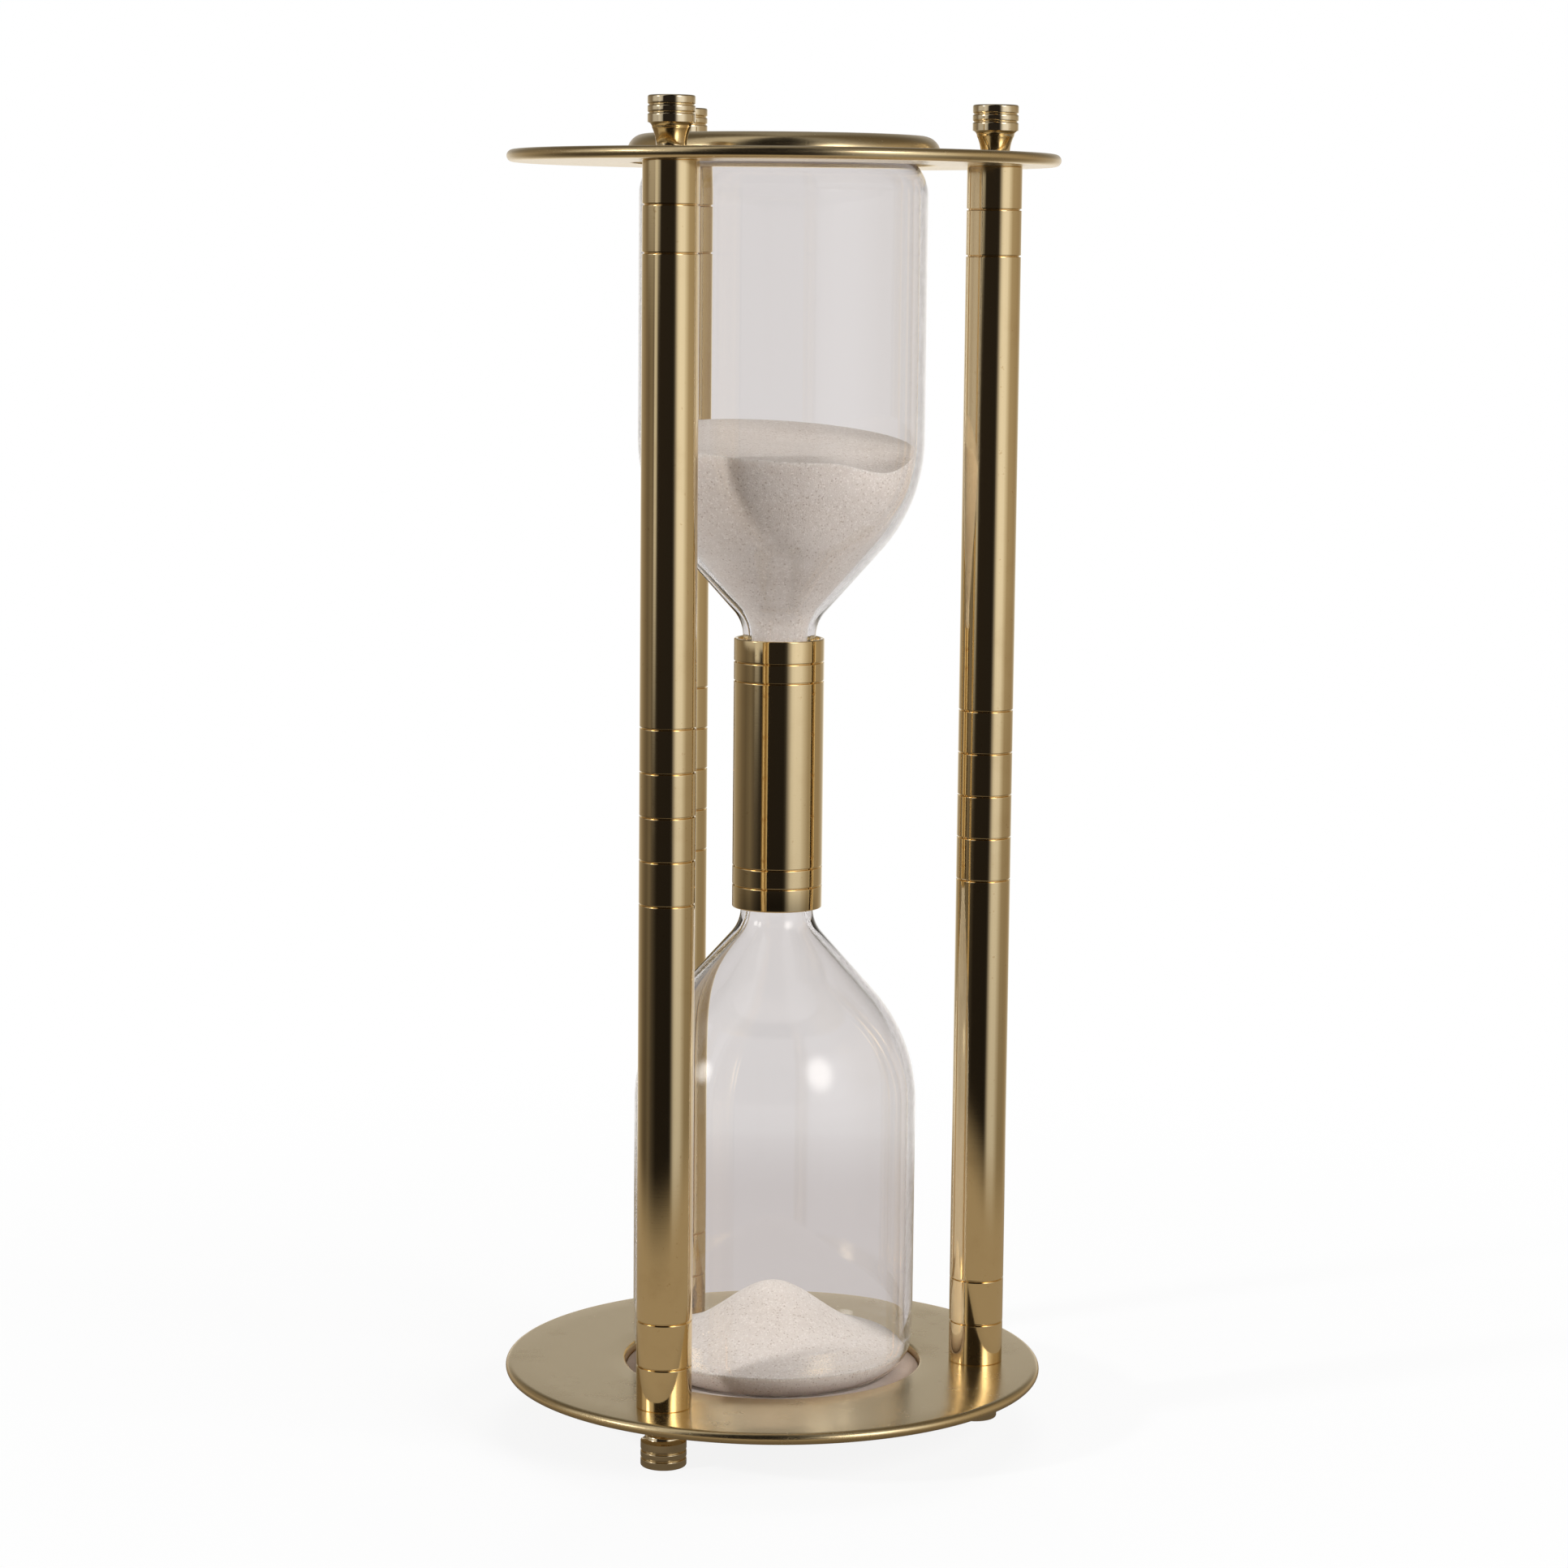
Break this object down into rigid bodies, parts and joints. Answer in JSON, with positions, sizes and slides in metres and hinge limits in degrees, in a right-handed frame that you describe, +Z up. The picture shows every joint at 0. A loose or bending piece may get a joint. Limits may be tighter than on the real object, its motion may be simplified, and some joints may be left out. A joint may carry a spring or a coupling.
{
  "type": "hourglass",
  "caption": "Brass-framed hourglass: round plates on turned pillars hold clear glass bulbs joined at a sleeved waist, with sand inside and unscrewing knobs and feet.",
  "frame": {"origin": "centre of the three feet, on the surface that the hourglass stands on", "axes": "+Z up along the hourglass, +X towards the right-hand pillar, -Y towards the front"},
  "size_m": [0.13, 0.13, 0.3164],
  "materials": {
    "polished_brass": "polished",
    "plate_brass": "satin",
    "plug_brass": "satin",
    "stud_steel": "satin",
    "clear_glass": "gloss",
    "disc_metal": "satin",
    "binding_tape": "matte",
    "seal_rubber": "matte",
    "cork": "matte",
    "sand": "matte"
  },
  "bodies": {
    "frame": {"bottom_plate": "plate_brass", "top_plate": "plate_brass", "right_pillar": "polished_brass", "back_pillar": "polished_brass", "left_pillar": "polished_brass", "right_bottom_plug": "plug_brass", "back_bottom_plug": "plug_brass", "left_bottom_plug": "plug_brass", "right_top_plug": "plug_brass", "back_top_plug": "plug_brass", "left_top_plug": "plug_brass", "upper_bulb": "clear_glass", "lower_bulb": "clear_glass", "orifice_disc": "disc_metal", "neck_binding": "binding_tape", "upper_spacer_ring": "seal_rubber", "lower_spacer_ring": "seal_rubber", "waist_sleeve": "polished_brass", "upper_cup_pad": "cork", "lower_cup_pad": "cork", "upper_sand": "sand", "lower_sand": "sand"},
    "right_foot_stud": {"right_foot_stud": "stud_steel"},
    "right_foot": {"right_foot": "polished_brass"},
    "back_foot_stud": {"back_foot_stud": "stud_steel"},
    "back_foot": {"back_foot": "polished_brass"},
    "left_foot_stud": {"left_foot_stud": "stud_steel"},
    "left_foot": {"left_foot": "polished_brass"},
    "right_knob_stud": {"right_knob_stud": "stud_steel"},
    "right_knob": {"right_knob": "polished_brass"},
    "back_knob_stud": {"back_knob_stud": "stud_steel"},
    "back_knob": {"back_knob": "polished_brass"},
    "left_knob_stud": {"left_knob_stud": "stud_steel"},
    "left_knob": {"left_knob": "polished_brass"}
  },
  "joints": [
    {"name": "right_foot_travel", "type": "slide", "parent": "frame", "child": "right_foot_stud", "axis": [0, 0, -1], "range_m": [0, 0.007]},
    {"name": "right_foot_turn", "type": "hinge", "parent": "right_foot_stud", "child": "right_foot", "pos_m": [0.0495, 0, 0.0143], "axis": [0, 0, -1], "range_deg": [0, 3600.5]},
    {"name": "back_foot_travel", "type": "slide", "parent": "frame", "child": "back_foot_stud", "axis": [0, 0, -1], "range_m": [0, 0.007]},
    {"name": "back_foot_turn", "type": "hinge", "parent": "back_foot_stud", "child": "back_foot", "pos_m": [-0.02475, 0.04287, 0.0143], "axis": [0, 0, -1], "range_deg": [0, 3600.5]},
    {"name": "left_foot_travel", "type": "slide", "parent": "frame", "child": "left_foot_stud", "axis": [0, 0, -1], "range_m": [0, 0.007]},
    {"name": "left_foot_turn", "type": "hinge", "parent": "left_foot_stud", "child": "left_foot", "pos_m": [-0.02475, -0.04287, 0.0143], "axis": [0, 0, -1], "range_deg": [0, 3600.5]},
    {"name": "right_knob_travel", "type": "slide", "parent": "frame", "child": "right_knob_stud", "axis": [0, 0, 1], "range_m": [0, 0.007]},
    {"name": "right_knob_turn", "type": "hinge", "parent": "right_knob_stud", "child": "right_knob", "pos_m": [0.0495, 0, 0.3021], "axis": [0, 0, 1], "range_deg": [0, 3600.5]},
    {"name": "back_knob_travel", "type": "slide", "parent": "frame", "child": "back_knob_stud", "axis": [0, 0, 1], "range_m": [0, 0.007]},
    {"name": "back_knob_turn", "type": "hinge", "parent": "back_knob_stud", "child": "back_knob", "pos_m": [-0.02475, 0.04287, 0.3021], "axis": [0, 0, 1], "range_deg": [0, 3600.5]},
    {"name": "left_knob_travel", "type": "slide", "parent": "frame", "child": "left_knob_stud", "axis": [0, 0, 1], "range_m": [0, 0.007]},
    {"name": "left_knob_turn", "type": "hinge", "parent": "left_knob_stud", "child": "left_knob", "pos_m": [-0.02475, -0.04287, 0.3021], "axis": [0, 0, 1], "range_deg": [0, 3600.5]}
  ],
  "couplings": [
    {"joint": "right_foot_turn", "follows": "right_foot_travel", "rad_per_m": 8976},
    {"joint": "back_foot_turn", "follows": "back_foot_travel", "rad_per_m": 8976},
    {"joint": "left_foot_turn", "follows": "left_foot_travel", "rad_per_m": 8976},
    {"joint": "right_knob_turn", "follows": "right_knob_travel", "rad_per_m": 8976},
    {"joint": "back_knob_turn", "follows": "back_knob_travel", "rad_per_m": 8976},
    {"joint": "left_knob_turn", "follows": "left_knob_travel", "rad_per_m": 8976}
  ]
}
